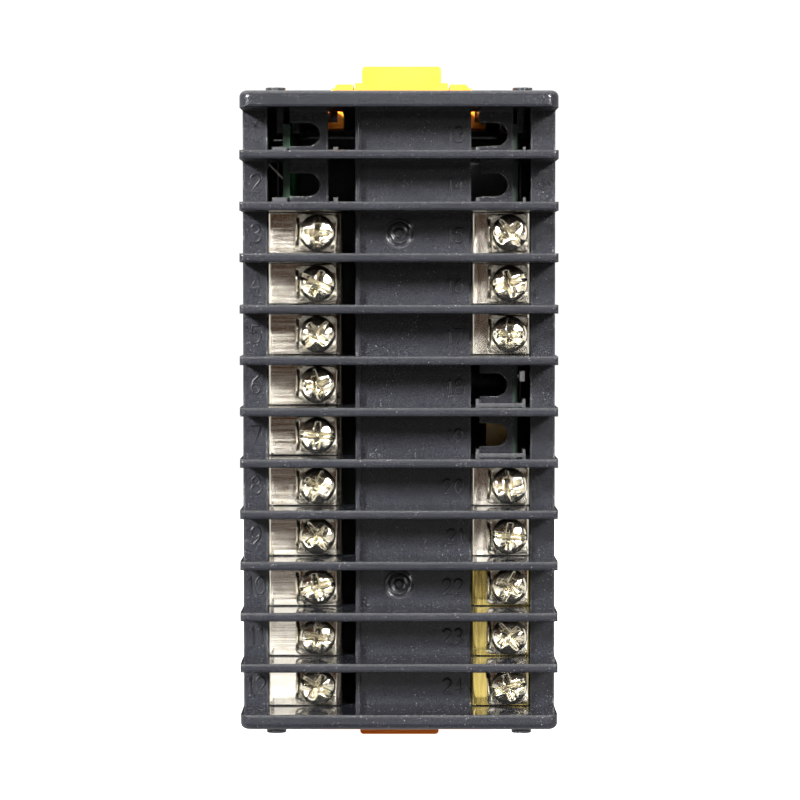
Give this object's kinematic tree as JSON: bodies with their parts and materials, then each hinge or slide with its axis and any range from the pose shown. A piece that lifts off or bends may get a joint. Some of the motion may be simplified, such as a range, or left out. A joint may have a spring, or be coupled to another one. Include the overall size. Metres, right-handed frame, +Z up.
{
  "type": "digital process controller",
  "caption": "Panel-mounted process controller: deep case with a finned block of numbered screw terminals behind, display and keys in front, and sliding amber clamps above and below.",
  "frame": {"origin": "centre of the panel plane, on the rear face of the gasket", "axes": "+Z up, +Y to the rear through the panel towards the terminals, +X to the right seen from the front"},
  "size_m": [0.048, 0.0671, 0.1018],
  "materials": {
    "case": "satin charcoal moulding, dusty, with pale scuffs along its edges",
    "bracket": "amber moulding",
    "screw": "nickel plated, bright",
    "washer": "nickel plated, satin",
    "nickel": "nickel plated strip, bright",
    "brass": "bare brass strip",
    "bezel": "fine textured dark grey",
    "gasket": "matt black foam rubber",
    "window": "smoked acrylic",
    "switch": "black",
    "plunger": "black",
    "key": "mid grey soft plastic",
    "board": "green solder mask",
    "display": "black face with diffusing segments",
    "lamp": "red diffusing lens",
    "connector": "black",
    "transformer": "varnished laminations with a taped winding",
    "sleeve": "black sleeve",
    "relay": "black relay case",
    "film": "amber dipped",
    "coupler": "black",
    "tin": "tinned",
    "chip": "black epoxy"
  },
  "bodies": {
    "housing": {"case": "case", "terminal_screws": "screw", "terminal_washers": "washer", "front_bezel": "bezel", "panel_gasket": "gasket", "display_window": "window", "key_switches": "switch", "display_board": "board", "process_display": "display", "setpoint_display": "display", "indicator_lamps": "lamp", "input_board": "board", "power_board": "board", "input_header": "connector", "power_header": "connector", "transformer": "transformer", "supply_capacitor": "sleeve", "output_relay_1": "relay", "output_relay_2": "relay", "film_capacitor": "film", "optocouplers": "coupler", "test_pin": "tin", "input_leads": "tin", "microcontroller": "chip", "converter": "chip", "terminal_03": "nickel", "terminal_04": "nickel", "terminal_05": "nickel", "terminal_06": "nickel", "terminal_07": "nickel", "terminal_08": "nickel", "terminal_09": "nickel", "terminal_10": "nickel", "terminal_11": "nickel", "terminal_12": "nickel", "terminal_15": "nickel", "terminal_16": "nickel", "terminal_17": "nickel", "terminal_20": "nickel", "terminal_21": "nickel", "terminal_22": "brass", "terminal_23": "brass", "terminal_24": "brass"},
    "upper_bracket": {"upper_bracket": "bracket"},
    "lower_bracket": {"lower_bracket": "bracket"},
    "mode_key": {"mode_key": "key", "mode_plunger": "plunger"},
    "shift_key": {"shift_key": "key", "shift_plunger": "plunger"},
    "down_key": {"down_key": "key", "down_plunger": "plunger"},
    "up_key": {"up_key": "key", "up_plunger": "plunger"}
  },
  "joints": [
    {"name": "upper_bracket_slide", "type": "slide", "parent": "housing", "child": "upper_bracket", "axis": [0, 1, 0], "range_m": [-0.002, 0.019]},
    {"name": "lower_bracket_slide", "type": "slide", "parent": "housing", "child": "lower_bracket", "axis": [0, 1, 0], "range_m": [-0.002, 0.019]},
    {"name": "mode_key_press", "type": "slide", "parent": "housing", "child": "mode_key", "axis": [0, 1, 0], "range_m": [0, 0.0005], "stiffness_N_per_m": 3000},
    {"name": "shift_key_press", "type": "slide", "parent": "housing", "child": "shift_key", "axis": [0, 1, 0], "range_m": [0, 0.0005], "stiffness_N_per_m": 3000},
    {"name": "down_key_press", "type": "slide", "parent": "housing", "child": "down_key", "axis": [0, 1, 0], "range_m": [0, 0.0005], "stiffness_N_per_m": 3000},
    {"name": "up_key_press", "type": "slide", "parent": "housing", "child": "up_key", "axis": [0, 1, 0], "range_m": [0, 0.0005], "stiffness_N_per_m": 3000}
  ]
}
